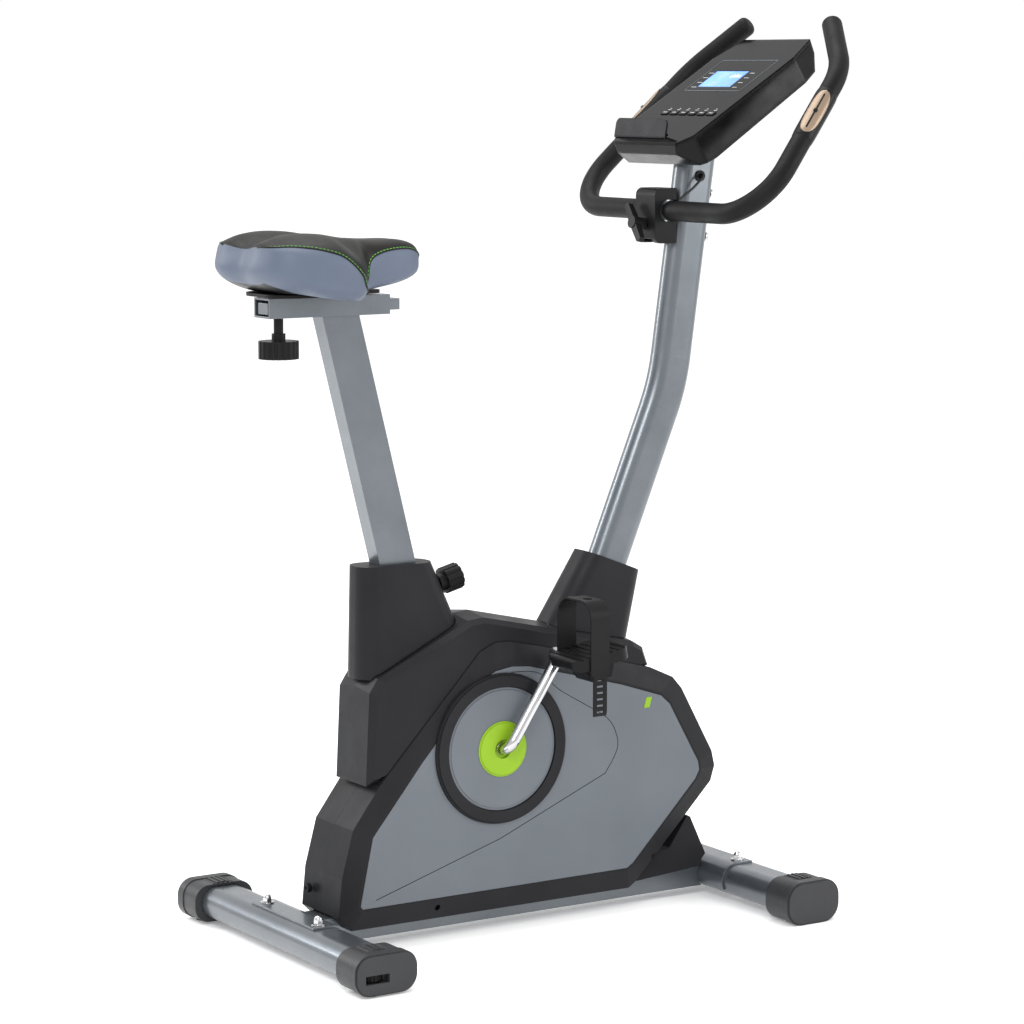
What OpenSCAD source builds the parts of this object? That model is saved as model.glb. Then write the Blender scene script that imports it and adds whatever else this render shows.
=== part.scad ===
// Upright exercise bike: steel base and mast, belt-driven flywheel inside a
// two-piece shroud, sliding seat post, tilting handlebar and a small console.
// Millimetres. +X is forward, +Y is the rider's left, +Z is up, the floor is z = 0.

/* [Base] */
// Centre of the rear floor tube along the bike
rear_x = -427; // [-432:1:-422]
// Centre of the front floor tube along the bike
front_x = 360; // [356:1:366]
// Width of the base across its end caps
base_w = 576; // [540:2:620]
// Width of each oval floor tube
floor_tube_w = 80; // [76:1:84]
// Height of each oval floor tube
floor_tube_h = 50; // [46:1:52]
// Length of each end cap
cap_len = 62; // [56:1:70]
// Width of the main rail
rail_w = 60; // [50:1:60]
// Height of the main rail
rail_h = 40; // [36:1:42]

/* [Shroud] */
// Half width of the shroud's rim
rim_half = 58; // [57:0.5:60]
// Half width of the shroud at its side panels
panel_half = 68; // [66:0.5:70]
// Wall thickness of the plastic covers
wall = 3; // [2:0.5:4]
// Outer radius of the dark trim ring around the crank disc
ring_r = 119; // [112:1:122]
// Radius of the crank disc
disc_r = 97.5; // [94:0.5:98]
// Radius of the coloured hub cover
hub_r = 44; // [38:1:48]

/* [Crank and pedals] */
// Height of the crank axle above the floor
axle_z = 297; // [292:1:302]
// Place of the crank axle along the bike
axle_x = -92; // [-96:1:-88]
// Length of each crank arm
crank_len = 170; // [160:1:175]
// Angle of the near crank arm above the horizontal
crank_deg = 56.4; // [50:0.1:62]
// Radius of the bent crank bar
bar_r = 9.5; // [8:0.5:10]
// Distance of each crank arm from the middle plane
arm_y = 92; // [91:1:94]
// Length of a pedal's tread along the foot
pedal_len = 104; // [96:1:110]
// Width of a pedal's tread
pedal_w = 90; // [84:1:96]
// Upward pitch of the pedals at rest
pedal_pitch = 10; // [0:1:15]

/* [Seat] */
// Backward lean of the seat post
seat_lean = 14.2; // [13.5:0.1:15]
// Depth of the seat post's section
post_d = 62; // [58:1:64]
// Width of the seat post's section
post_w = 32; // [28:1:34]
// Height of the seat head tube's centre
head_z = 996; // [980:1:1010]
// Half width of the saddle
saddle_half = 122; // [110:1:126]

/* [Mast and handlebar] */
// Forward lean of the mast below its bend
mast_low_lean = 22.6; // [22:0.1:23]
// Forward lean of the mast above its bend
mast_top_lean = 8.1; // [7.5:0.1:8.5]
// Depth of the mast's oval section
mast_d = 70; // [66:1:72]
// Width of the mast's oval section
mast_w = 40; // [36:1:42]
// Height of the handlebar's cross tube
bar_z = 1126; // [1120:1:1130]
// Place of the handlebar's cross tube along the bike
bar_x = 253; // [250:1:254]
// Radius of the handlebar's steel tube
steel_r = 11; // [10:0.5:11]
// Outer radius of the foam grip
foam_r = 16.4; // [15:0.2:17]

/* [Console] */
// Slope of the console's face
face_deg = 32.1; // [31:0.1:33]
// Half width of the console
console_half = 107; // [104:1:110]
// Number of keys
key_count = 6; // [6:1:6]
// Distance from key to key
key_pitch = 25; // [24:0.5:26]

/* [Hidden] */
$fn = 48;

steel_grey = [0.42, 0.45, 0.48];
dark_shell = [0.2, 0.2, 0.21];
panel_grey = [0.5, 0.54, 0.58];
black = [0.08, 0.08, 0.085];
lime = [0.56, 0.83, 0.14];

gap = 0.3;
shift_x = -5.7;
floor_z = 35;
rail_z = 35;
bolt_y = 81;
plate_t = 3.2;
plate_half = 98;
tube_half = base_w / 2 - 45;
plane_eps = 0.02;
lap = 2;
proud = 0.05;
joint_lap = 0.4;
bend_proud = 0.3;

// crank and drive
tip_dx = crank_len * cos(crank_deg);
tip_dz = crank_len * sin(crank_deg);
pulley_r = 115;
pulley_y0 = 28;
pulley_y1 = 40;
fly_x = 186;
fly_z = 214;
fly_r = 100;
fly_half = 12;
small_r = 14;
belt_t = 2.6;
idler_r = 15;
belt_deg = atan2(fly_z - axle_z, fly_x - axle_x);
belt_len = norm([fly_x - axle_x, fly_z - axle_z]);
belt_taper = asin((pulley_r - small_r) / belt_len);
belt_low_deg = belt_deg - 90 + belt_taper;
idler_at = 0.62;
idler_off = pulley_r + (small_r - pulley_r) * idler_at + belt_t + 0.6 + idler_r;
idler_x = axle_x + belt_len * idler_at * cos(belt_deg) + idler_off * cos(belt_low_deg);
idler_z = axle_z + belt_len * idler_at * sin(belt_deg) + idler_off * sin(belt_low_deg);
arm_pivot_deg = 150;
arm_pivot_r = 112;
arm_px = fly_x + arm_pivot_r * cos(arm_pivot_deg);
arm_pz = fly_z + arm_pivot_r * sin(arm_pivot_deg);

// pedals
pedal_in = 112;
pedal_fwd = 14;
pedal_rise = 6;
tread_t = 20;
spindle_r = 7;
strap_w = 34;
strap_t = 3;
strap_top = 100;
strap_tail = -98;
tail_w = 25;

// seat
post_z0 = 772;
post_x0 = -290.5;
pin_z = 539;
post_bottom = 425;
head_len = 208;
head_x = -366;
head_w = 48;
head_h = 30;
slider_w = 30;
slider_h = 17;
seat_knob_x = -442;

// mast
mast_z0 = 623;
mast_x0 = 177.3;
mast_wall = 2.5;
bend_r = 350;
mast_foot_z = 520;
socket_foot_z = 150;
bend_dx = mast_x0 + 224.7 * tan(mast_low_lean);
bend_z = mast_z0 + 224.7;
bend_half = (mast_low_lean - mast_top_lean) / 2;
bend_tan = bend_r * tan(bend_half);
grip_back = [0.661, -0.212, 0.7166];
bar_corner = [bar_x, 267, bar_z];
bar_bend = [460, 202, 1349];
bar_tip = [508, 116, 1420];
foam_gap_y = 33;
sensor_mid = [392, 222, 1272];
sensor_len = 94;

// console
face_x = 226;
face_z = 1236;
face_len = 305;
key_s = 83;
key_y0 = 45;
key_travel = 1;

// ---- helpers -------------------------------------------------------------

module at() translate([shift_x, 0, 0]) children();

// a side profile (X, Z) given thickness from y0 to y1
module side(y0, y1) translate([0, y1, 0]) rotate([90, 0, 0]) linear_extrude(y1 - y0) children();

// a round bar along Y
module ybar(r, y0, y1, x, z) translate([x, y1, z]) rotate([90, 0, 0]) cylinder(r = r, h = y1 - y0);

module both() {
    children();
    mirror([0, 1, 0]) children();
}

module oval(w, h) {
    square([w - h, h], center = true);
    for (s = [-1, 1]) translate([s * (w - h) / 2, 0]) circle(d = h);
}

module rounded(w, h, r) {
    square([w - 2 * r, h], center = true);
    square([w, h - 2 * r], center = true);
    for (sx = [-1, 1], sy = [-1, 1]) translate([sx * (w / 2 - r), sy * (h / 2 - r)]) circle(r);
}

// a round bar from point a to point b
module bar(a, b, r) {
    d = b - a;
    translate(a) rotate([0, acos(d.z / norm(d)), atan2(d.y, d.x)]) cylinder(r = r, h = norm(d));
}

function unit(v) = v / norm(v);
function turn_deg(p, q, s) = acos(unit(q - p) * unit(s - q));

// length that a bend of radius big takes from each straight at q
function bend_cut(p, q, s, big) = big * tan(turn_deg(p, q, s) / 2);

// a round bend at q between the straights p-q and q-s
module bend(p, q, s, big, r) {
    from = unit(p - q);
    onward = unit(s - q);
    start = q + from * bend_cut(p, q, s, big);
    centre = q + unit(from + onward) * big / cos(turn_deg(p, q, s) / 2);
    u = unit(start - centre);
    v = -from;
    w = cross(u, v);
    multmatrix([[u.x, v.x, w.x, centre.x], [u.y, v.y, w.y, centre.y], [u.z, v.z, w.z, centre.z], [0, 0, 0, 1]])
        rotate_extrude(angle = turn_deg(p, q, s)) translate([big, 0]) circle(r);
}

// a bent round tube through pts, with one bend radius for each inner point
module pipe(pts, bends, r) {
    m = len(pts);
    for (i = [0 : m - 2]) {
        d = unit(pts[i + 1] - pts[i]);
        first = i == 0 ? 0 : bend_cut(pts[i - 1], pts[i], pts[i + 1], bends[i - 1]) - lap;
        last = i == m - 2 ? 0 : bend_cut(pts[i], pts[i + 1], pts[i + 2], bends[i]) - lap;
        bar(pts[i] + d * first, pts[i + 1] - d * last, r + proud);
    }
    for (i = [1 : m - 2]) bend(pts[i - 1], pts[i], pts[i + 1], bends[i - 1], r);
}

// ---- base ----------------------------------------------------------------

module floor_tube() {
    difference() {
        side(-tube_half, tube_half) oval(floor_tube_w, floor_tube_h);
        side(-tube_half - 1, tube_half + 1) oval(floor_tube_w - 5, floor_tube_h - 5);
        for (s = [-1, 1]) translate([0, s * bolt_y, -40]) cylinder(r = 4.3, h = 80);
    }
}

module rear_stabilizer() color(steel_grey) at() translate([rear_x, 0, floor_z]) floor_tube();
module front_stabilizer() color(steel_grey) at() translate([front_x, 0, floor_z]) floor_tube();

// curved plate that wraps the top and the inner side of a floor tube
module saddle_plate() {
    difference() {
        side(-plate_half, plate_half) difference() {
            oval(floor_tube_w + 2 * plate_t + 0.4, floor_tube_h + 2 * plate_t + 0.4);
            oval(floor_tube_w + 0.4, floor_tube_h + 0.4);
            translate([-70, -50]) square([52, 100]);
            translate([-50, -50]) square([100, 36]);
        }
        for (s = [-1, 1]) translate([0, s * bolt_y, -40]) cylinder(r = 4.3, h = 80);
    }
}

module saddle_brackets() color(steel_grey) at() {
    translate([rear_x, 0, floor_z]) saddle_plate();
    translate([front_x, 0, floor_z]) mirror([1, 0, 0]) saddle_plate();
}

module rail_block(grow) {
    translate([rear_x + 30 - grow, -rail_w / 2 - grow, rail_z - rail_h / 2 - grow])
        cube([front_x - rear_x - 60 + 2 * grow, rail_w + 2 * grow, rail_h + 2 * grow]);
}

module base_rail() color(steel_grey) at() difference() {
    rail_block(0);
    translate([rear_x, 3 - rail_w / 2, rail_z + 3 - rail_h / 2])
        cube([front_x - rear_x, rail_w - 6, rail_h - 6]);
    for (x = [rear_x, front_x]) translate([x, 0, floor_z]) side(-60, 60)
        oval(floor_tube_w + 2 * plate_t + 0.4, floor_tube_h + 2 * plate_t + 0.4);
}

// end cap body: ribbed sleeve towards the middle, plain domed face outside
module cap_body(w, h, foot) {
    r = h * 0.42;
    difference() {
        union() {
            side(-cap_len, -20) rounded(w - 3, h - 3, r - 1.5);
            side(-21, -3) rounded(w, h, r);
            side(-3, 0) rounded(w - 5, h - 5, r - 2.5);
            for (a = [20 : 10 : 160])
                translate([(w / 2 - 22) * cos(a), 0, (h / 2 - 18) * sin(a)])
                    side(-cap_len + 3, -24) rotate(a) translate([15.6, 0]) square([7, 4.6], center = true);
        }
        translate([0, 0, foot]) side(-cap_len - 1, -44.8) oval(floor_tube_w + 0.6, floor_tube_h + 0.6);
    }
}

rear_cap_w = 106;
rear_cap_h = 63;
rear_cap_z = 34.5;
front_cap_w = 103;
front_cap_h = 70;
front_cap_z = 35;
dial_x = 16;
dial_y = base_w / 2 - 24;
dial_r = 18;

module rear_cap() difference() {
    translate([rear_x, base_w / 2, rear_cap_z]) cap_body(rear_cap_w, rear_cap_h, floor_z - rear_cap_z);
    // window that shows the levelling wheel, and the pocket that the wheel turns in
    translate([rear_x - dial_x, dial_y, 20]) cylinder(r = dial_r + 1, h = 16);
    translate([rear_x - dial_x - 20, base_w / 2 - 12, 22]) cube([40, 20, 13]);
    translate([rear_x - dial_x, dial_y, -1]) cylinder(r = 14, h = 24);
}

module rear_caps() color(dark_shell) at() both() rear_cap();

wheel_x = 26;
wheel_z = 20;
wheel_r = 17;
wheel_y0 = base_w / 2 - 38;
wheel_y1 = base_w / 2 - 20;

module front_cap() difference() {
    translate([front_x, base_w / 2, front_cap_z]) cap_body(front_cap_w, front_cap_h, floor_z - front_cap_z);
    // open pocket for the transport wheel, under the front of the cap
    ybar(wheel_r + 3, wheel_y0 - 2, wheel_y1 + 2, front_x + wheel_x + 14, wheel_z);
    translate([front_x + wheel_x + 14, wheel_y0 - 2, -1]) cube([60, wheel_y1 - wheel_y0 + 4, wheel_z + wheel_r]);
}

module wheel_pin() ybar(4, wheel_y0 - 2, wheel_y1 + 2, front_x + wheel_x + 14, wheel_z);

module front_caps() color(dark_shell) at() both() union() {
    front_cap();
    wheel_pin();
}

module transport_wheel() difference() {
    union() {
        ybar(wheel_r, wheel_y0 + 2, wheel_y1 - 2, front_x + wheel_x + 14, wheel_z);
        ybar(8, wheel_y0 - 1, wheel_y1 + 1, front_x + wheel_x + 14, wheel_z);
    }
    ybar(4.06, wheel_y0 - 5, wheel_y1 + 5, front_x + wheel_x + 14, wheel_z);
}

module wheel_left() color(black) at() transport_wheel();
module wheel_right() color(black) at() mirror([0, 1, 0]) transport_wheel();

// levelling wheel with its foot pad
module level_dial() translate([rear_x - dial_x, dial_y, 0]) {
    cylinder(r = 13, h = 4);
    cylinder(r = 6, h = 24);
    difference() {
        translate([0, 0, 23]) cylinder(r = dial_r, h = 10);
        for (a = [0 : 20 : 340]) rotate(a) translate([dial_r, 0, 22]) cylinder(r = 1.4, h = 12);
    }
}

module dial_left() color(black) at() level_dial();
module dial_right() color(black) at() mirror([0, 1, 0]) level_dial();

module carriage_bolt() {
    translate([0, 0, -floor_tube_h / 2 - 3]) cylinder(r = 9, h = 3);
    translate([0, 0, -floor_tube_h / 2 - 2]) cylinder(r = 4, h = floor_tube_h + 12);
    translate([0, 0, floor_tube_h / 2 + plate_t + 0.2]) cylinder(r = 11, h = 2);
    translate([0, 0, floor_tube_h / 2 + plate_t + 2.2]) cylinder(r = 7.5, h = 6, $fn = 6);
    translate([0, 0, floor_tube_h / 2 + plate_t + 8]) intersection() {
        sphere(r = 6.5);
        translate([0, 0, 5]) cube([14, 14, 10], center = true);
    }
}

// a bolt across the mast: head on the front edge
module mast_bolt(z) translate([mast_front(z) - 1.5, 0, z]) rotate([0, 90 + mast_top_lean, 0]) {
    cylinder(r = 4, h = 5);
    translate([0, 0, 1.7]) cylinder(r = 9, h = 1.6);
    translate([0, 0, 3.2]) cylinder(r = 7.5, h = 5, $fn = 6);
}

module frame_bolts() color([0.75, 0.76, 0.78]) at() {
    for (x = [rear_x, front_x], s = [-1, 1]) translate([x, s * bolt_y, floor_z]) carriage_bolt();
    for (z = [1082, 1151]) mast_bolt(z);
}

// ---- welded uprights -------------------------------------------------------

function post_x(z) = post_x0 - (z - post_z0) * tan(seat_lean);
function mast_low_x(z) = mast_x0 + (z - mast_z0) * tan(mast_low_lean);
function mast_top_x(z) = bend_dx + (z - bend_z) * tan(mast_top_lean);
function mast_front(z) = mast_top_x(z) + mast_d / 2 / cos(mast_top_lean);

// a bar along the seat post's axis, between two heights
module seat_bar(d, w, z0, z1) translate([post_x(z0), 0, z0]) rotate([0, -seat_lean, 0])
    translate([-d / 2, -w / 2, 0]) cube([d, w, (z1 - z0) / cos(seat_lean)]);

// pin axis, square to the seat post
module on_pin() translate([post_x(pin_z), 0, pin_z]) rotate([0, 90 - seat_lean, 0]) children();

module socket_bar(grow, z0, z1) translate([mast_low_x(z0), 0, z0]) rotate([0, mast_low_lean, 0])
    linear_extrude((z1 - z0) / cos(mast_low_lean)) oval(mast_d + 2 * grow, mast_w + 2 * grow);

module frame_uprights() color(steel_grey) at() difference() {
    union() {
        seat_bar(post_d + 9, post_w + 9, 48, 571);
        socket_bar(4, socket_foot_z, 554);
        translate([mast_low_x(socket_foot_z) - 24, -18, 50]) cube([48, 36, 120]);
        ybar(22, -27, 27, axle_x, axle_z);
        translate([axle_x - 55, -14, axle_z - 13]) cube([50, 28, 26]);
        on_pin() cylinder(r = 11, h = 66);
    }
    rail_block(0);
    seat_bar(post_d + 0.6, post_w + 0.6, 70, 640);
    socket_bar(0.4, mast_foot_z, 700);
    socket_bar(-4, socket_foot_z + 12, mast_foot_z + 8);
    ybar(bar_r + 0.06, -60, 60, axle_x, axle_z);
    on_pin() cylinder(r = 5.06, h = 90);
}

// ---- shroud ----------------------------------------------------------------

rim_points = [
    [-378, 60], [-372, 121], [-352, 195], [-305, 258], [-122, 451], [-96, 463], [-70, 463],
    [24, 442], [200, 396], [244, 376], [262, 356], [323, 246], [329, 221], [321, 196],
    [172, 46], [160, 38], [-356, 38]
];
panel_points = [
    [-350, 76], [-327, 184], [-236, 294], [-130, 408], [-102, 424], [-70, 429], [-37, 426],
    [137, 380], [216, 354], [234, 338], [292, 236], [295, 219], [286, 203], [163, 78],
    [150, 70], [-344, 68]
];
gusset_points = [[250, 90], [285, 140], [291, 137], [322, 72], [315, 64], [312, 52], [172, 42], [150, 60]];
shoulder_points = [
    [-322, 258], [-315, 402], [-300, 424], [-138, 500], [-110, 503], [172, 440], [192, 428],
    [203, 398]
];

module profile(points, inset) offset(delta = -inset) polygon(points);

// the filled outer form of the shroud's right half below its shoulder
module shell_form(inset) hull() {
    side(-rim_half + inset, 0) profile(rim_points, inset);
    side(-panel_half + inset, -rim_half) profile(panel_points, inset);
}

module shell_both(inset) hull() {
    side(inset - rim_half, rim_half - inset) profile(rim_points, inset);
    side(inset - panel_half, panel_half - inset) profile(panel_points, inset);
}

// the filled outer form of the shoulder: crowned top, bevelled sides
module shoulder_form(inset) hull() {
    translate([0, 0, 6]) side(-1, 1) profile(shoulder_points, inset);
    side(inset - 46, 46 - inset) profile(shoulder_points, inset);
    side(inset - 56, 56 - inset) profile(shoulder_points, 8 + inset);
}

// everything that stands up through the covers, with room around it
module passages() {
    seat_bar(post_d + 11, post_w + 11, 30, 620);
    socket_bar(5, socket_foot_z - 20, 640);
    translate([mast_low_x(socket_foot_z) - 26, -19, 30]) cube([52, 38, 140]);
    rail_block(gap);
}

module bracket_room() {
    translate([front_x, 0, floor_z]) side(-130, 130)
        oval(floor_tube_w + 2 * plate_t + 1.2, floor_tube_h + 2 * plate_t + 1.2);
}

module shell_half() {
    difference() {
        union() {
            shell_form(0);
            side(-44, 0) polygon(gusset_points);
        }
        shell_form(wall);
        passages();
        bracket_room();
        // seat for the side panel, opening for the crank, sockets for two screws
        side(-panel_half - 1, -panel_half + 1.5) profile(panel_points, 4);
        ybar(ring_r + 0.05, -90, -panel_half + 1.5, axle_x, axle_z);
        ybar(15, -80, 0, axle_x, axle_z);
        for (p = shell_screw_at) ybar(5, -80, -rim_half + 12, p[0], p[1]);
    }
}

shell_screw_at = [[-205, 56], [208, 84]];

module shell_right() color(dark_shell) at() shell_half();
module shell_left() color(dark_shell) at() mirror([0, 1, 0]) shell_half();

module shell_screws() color(black) at() both() for (p = shell_screw_at)
    ybar(4.8, -rim_half + 1, -rim_half + 11.8, p[0], p[1]);

module shoulders() color(dark_shell) at() difference() {
    shoulder_form(0);
    difference() {
        shoulder_form(wall);
        side(-70, 70) profile(rim_points, -wall);
    }
    side(-70, 70) profile(rim_points, -gap / 3);
    passages();
    boot_form(-1);
    mast_boot_form(-1);
}

module side_panels() color(panel_grey) at() both() difference() {
    side(-panel_half - 1, -panel_half + 1.5) profile(panel_points, 4.3);
    ybar(ring_r + gap, -90, 0, axle_x, axle_z);
}

module disc_rings() color(dark_shell) at() both() difference() {
    union() {
        ybar(ring_r, -panel_half - 5, -panel_half, axle_x, axle_z);
        ybar(ring_r - 3, -panel_half - 8, -panel_half, axle_x, axle_z);
        ybar(ring_r, -panel_half - 1, -panel_half + 1.5, axle_x, axle_z);
        difference() {
            ybar(ring_r, -panel_half, -rim_half - 3, axle_x, axle_z);
            shell_form(0);
        }
    }
    ybar(disc_r + 1, -90, 0, axle_x, axle_z);
}

// fairing around the seat socket
module boot_form(inset) hull() {
    translate([-212, 0, 420]) linear_extrude(plane_eps) rounded(214 - 2 * inset, 80 - 2 * inset, 36 - inset);
    translate([-250, 0, 594 - inset]) linear_extrude(plane_eps)
        rounded(132 - 2 * inset, 60 - 2 * inset, 26 - inset);
}

module seat_boot() color(dark_shell) at() difference() {
    boot_form(0);
    boot_form(wall);
    seat_bar(post_d + 2.4, post_w + 2.4, 500, 640);
    shoulder_form(-0.1);
    shell_both(-0.1);
    on_pin() {
        cylinder(r = 11.4, h = 100);
        translate([0, 0, 67.5]) cylinder(r = 15.5, h = 40);
    }
}

// fairing around the mast socket
module mast_boot_form(inset) hull() {
    translate([84, 0, 420]) linear_extrude(plane_eps) rounded(184 - 2 * inset, 76 - 2 * inset, 32 - inset);
    translate([mast_low_x(566), 0, 568 - inset]) rotate([0, 21, 0]) linear_extrude(plane_eps)
        rounded(112 - 2 * inset, 66 - 2 * inset, 27 - inset);
}

module mast_boot() color(dark_shell) at() difference() {
    mast_boot_form(0);
    mast_boot_form(wall);
    socket_bar(1.2, 480, 700);
    shoulder_form(-0.1);
    shell_both(-0.1);
}

inlet_y = 30;
inlet_z = 92;

module on_inlet() translate([-380, inlet_y, inlet_z]) rotate([0, -90, 0]) children();

module dc_inlet() color(black) at() difference() {
    on_inlet() {
        cylinder(r = 7.5, h = 6.5);
        translate([0, 0, -2]) cylinder(r = 5, h = 4);
    }
    shell_both(-0.1);
    on_inlet() translate([0, 0, -1]) difference() {
        cylinder(r = 2.9, h = 12);
        cylinder(r = 1, h = 7);
    }
}

// ---- mast ------------------------------------------------------------------

module mast_bar(grow) {
    translate([mast_low_x(mast_foot_z), 0, mast_foot_z]) rotate([0, mast_low_lean, 0])
        linear_extrude((bend_z - mast_foot_z) / cos(mast_low_lean) - bend_tan + lap)
            oval(mast_d + 2 * grow, mast_w + 2 * grow);
    translate([bend_dx, 0, bend_z]) rotate([0, mast_low_lean, 0]) translate([-bend_r, 0, -bend_tan])
        rotate([90, 0, 0]) rotate_extrude(angle = 2 * bend_half) translate([bend_r, 0])
            oval(mast_d + 2 * grow + bend_proud, mast_w + 2 * grow + bend_proud);
    translate([bend_dx, 0, bend_z]) rotate([0, mast_top_lean, 0]) translate([0, 0, bend_tan - lap])
        linear_extrude(1300 - bend_z) oval(mast_d + 2 * grow, mast_w + 2 * grow);
}

// steel half ring welded to the mast, and the hinged strap over the handlebar
module bar_saddle() difference() {
    union() {
        ybar(steel_r + 5, -22, 22, bar_x, bar_z);
        translate([bar_x, -22, bar_z - 12]) cube([30, 44, 24]);
        translate([bar_x - 16, -14, bar_z - 46]) cube([14, 28, 40]);
        translate([bar_x - 16, -14, bar_z - 46]) cube([40, 28, 12]);
    }
    ybar(steel_r + 0.06, -60, 60, bar_x, bar_z);
    mast_bar(0);
    translate([bar_x - 40, -1.5, bar_z - 70]) cube([39, 3, 66]);
    on_bar_knob() cylinder(r = 4.06, h = 200, center = true);
}

knob_lean = -11;
module on_bar_knob() translate([bar_x - 9, 0, bar_z - 26]) rotate([0, -90 - knob_lean, 0]) children();

module mast() color(steel_grey) at() {
    difference() {
        mast_bar(0);
        mast_bar(-mast_wall);
        console_room();
        translate([mast_top_x(1180), -35, 1180]) rotate([90, 0, 0]) cylinder(r = 7, h = 40, center = true);
        for (z = [1082, 1151]) translate([mast_front(z), 0, z]) rotate([0, 90 + mast_top_lean, 0])
            cylinder(r = 4.3, h = 30, center = true);
    }
    bar_saddle();
}

module clamp_cover() color(black) at() difference() {
    side(-27, 27) translate([bar_x + 1, bar_z - 8]) rounded(56, 88, 12);
    side(-24, 24) translate([bar_x + 1, bar_z - 8]) rounded(50, 82, 10);
    translate([bar_x + 15, -40, bar_z - 80]) cube([60, 80, 160]);
    mast_bar(gap);
    ybar(foam_r + 1, -60, 60, bar_x, bar_z);
    translate([bar_x, -40, bar_z - foam_r - 1]) cube([60, 80, 2 * foam_r + 2]);
    on_bar_knob() cylinder(r = 7, h = 60);
    translate([bar_x - 1, 0, bar_z - 60]) cube([70, 32, 30], center = true);
}

// grommet around the pulse cable's hole in the mast
module cable_grommet() color(black) at() {
    difference() {
        translate([mast_top_x(1180), -mast_w / 2 - 1.2, 1180]) rotate([90, 0, 0])
            cylinder(r = 9, h = 2.4, center = true);
        mast_bar(0);
        translate([mast_top_x(1180), -mast_w / 2 - 1, 1180]) rotate([90, 0, 0])
            cylinder(r = 4.4, h = 20, center = true);
    }
}

cable_points = [
    [mast_top_x(1180), -8, 1180], [mast_top_x(1180), -32, 1180], [bar_x + 44, -33, bar_z + 36],
    [bar_x + 20, -24, bar_z + 15]
];

module pulse_cable() color(black) at() pipe(cable_points, [7, 14], 2);

// ---- console -----------------------------------------------------------------

module on_face() translate([face_x, 0, face_z]) rotate([0, -face_deg, 0]) children();

console_side = [[305, 0], [300, -23], [282, -47], [39, -54], [11, -50], [-9, -18], [-4, 0]];

// plan of the console: straight sides, rounded lower corners, narrowed top
module console_plan(inset) {
    w = console_half - inset;
    polygon([[-20 + inset, 72 - inset], [20, w], [250, w], [296, 92 - inset], [316 - inset, 86 - inset],
        [316 - inset, inset - 86], [296, inset - 92], [250, -w], [20, -w], [-20 + inset, inset - 72]]);
}

module console_form(inset) intersection() {
    side(-130, 130) offset(delta = -inset) polygon(console_side);
    translate([0, 0, -80]) linear_extrude(90) console_plan(inset);
}

module console_room() on_face() translate([0, 0, -0.3]) side(-130, 130)
    polygon([[305, 60], [300, -23], [282, -47.4], [39, -54.4], [-60, -54.4], [-60, 60]]);

module display_block(grow, z0, z1) translate([162 - grow, -37 - grow, z0])
    cube([47 + 2 * grow, 88 + 2 * grow, z1 - z0]);

module key_block(i, grow, z0, z1) translate([key_s, key_y0 - i * key_pitch, z0])
    linear_extrude(z1 - z0) rounded(10 + 2 * grow, 20 + 2 * grow, 3);

module console_base() color(black) at() on_face() difference() {
    console_form(0);
    console_form(2.5);
    translate([-50, -150, -3]) cube([400, 300, 50]);
}

module console_face() color([0.03, 0.03, 0.03]) at() on_face() difference() {
    intersection() {
        console_form(0);
        translate([-50, -150, -3]) cube([400, 300, 50]);
    }
    display_block(0.1, -2, 5);
    for (i = [0 : key_count - 1]) key_block(i, 0.3, -20, 20);
}

module display() color([0.35, 0.6, 0.95]) at() on_face() display_block(0, -2, -0.4);

module tablet_ledge() color(dark_shell) at() on_face() {
    translate([12, -46, 0]) cube([4, 142, 26]);
    translate([12, -46, 0]) cube([16, 142, 2.5]);
}

module key(i) color([0.15, 0.15, 0.16]) at() on_face() {
    key_block(i, 0, -4, 1.6);
    key_block(i, 1.2, -4.4, -3.4);
}
module key_1() key(0);
module key_2() key(1);
module key_3() key(2);
module key_4() key(3);
module key_5() key(4);
module key_6() key(5);

// ---- drive --------------------------------------------------------------------

module drive_carriers() color([0.6, 0.62, 0.64]) at() {
    // fixed flywheel axle in two fork plates that stand on the rail
    ybar(6, -36, 50, fly_x, fly_z);
    for (y = [-34, 43]) difference() {
        side(y, y + 5) polygon([[fly_x - 74, 50], [fly_x - 26, 50], [fly_x + 14, fly_z + 16],
            [fly_x - 14, fly_z + 16]]);
        rail_block(0);
        ybar(5.9, y - 5, y + 12, fly_x, fly_z);
    }
    for (s = [-34, 24]) translate([fly_x - 74, s, 55]) cube([48, s > 0 ? 24 : 8, 4]);
    // magnet arm pivot on a bracket from the front fork plate
    ybar(4, -34, 24, arm_px, arm_pz);
    side(-34, -30) hull() {
        translate([arm_px, arm_pz]) circle(9, $fn = 32);
        translate([fly_x - 14, fly_z]) circle(9, $fn = 32);
    }
    // idler pin on its arm
    ybar(4, 24, 48, idler_x, idler_z);
    side(43, 47) hull() {
        translate([idler_x, idler_z]) circle(10, $fn = 32);
        translate([fly_x - 18, fly_z - 30]) circle(12, $fn = 32);
    }
}

module flywheel() color([0.5, 0.5, 0.52]) at() difference() {
    union() {
        ybar(fly_r, -fly_half, fly_half, fly_x, fly_z);
        ybar(20, -20, 26, fly_x, fly_z);
        ybar(small_r, 25, pulley_y1 + 1, fly_x, fly_z);
    }
    for (s = [-1, 1]) difference() {
        ybar(fly_r - 22, s > 0 ? fly_half - 6 : -fly_half - 1, s > 0 ? fly_half + 1 : 6 - fly_half, fly_x, fly_z);
        ybar(30, -20, 20, fly_x, fly_z);
    }
    ybar(6.06, -80, 80, fly_x, fly_z);
}

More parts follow.
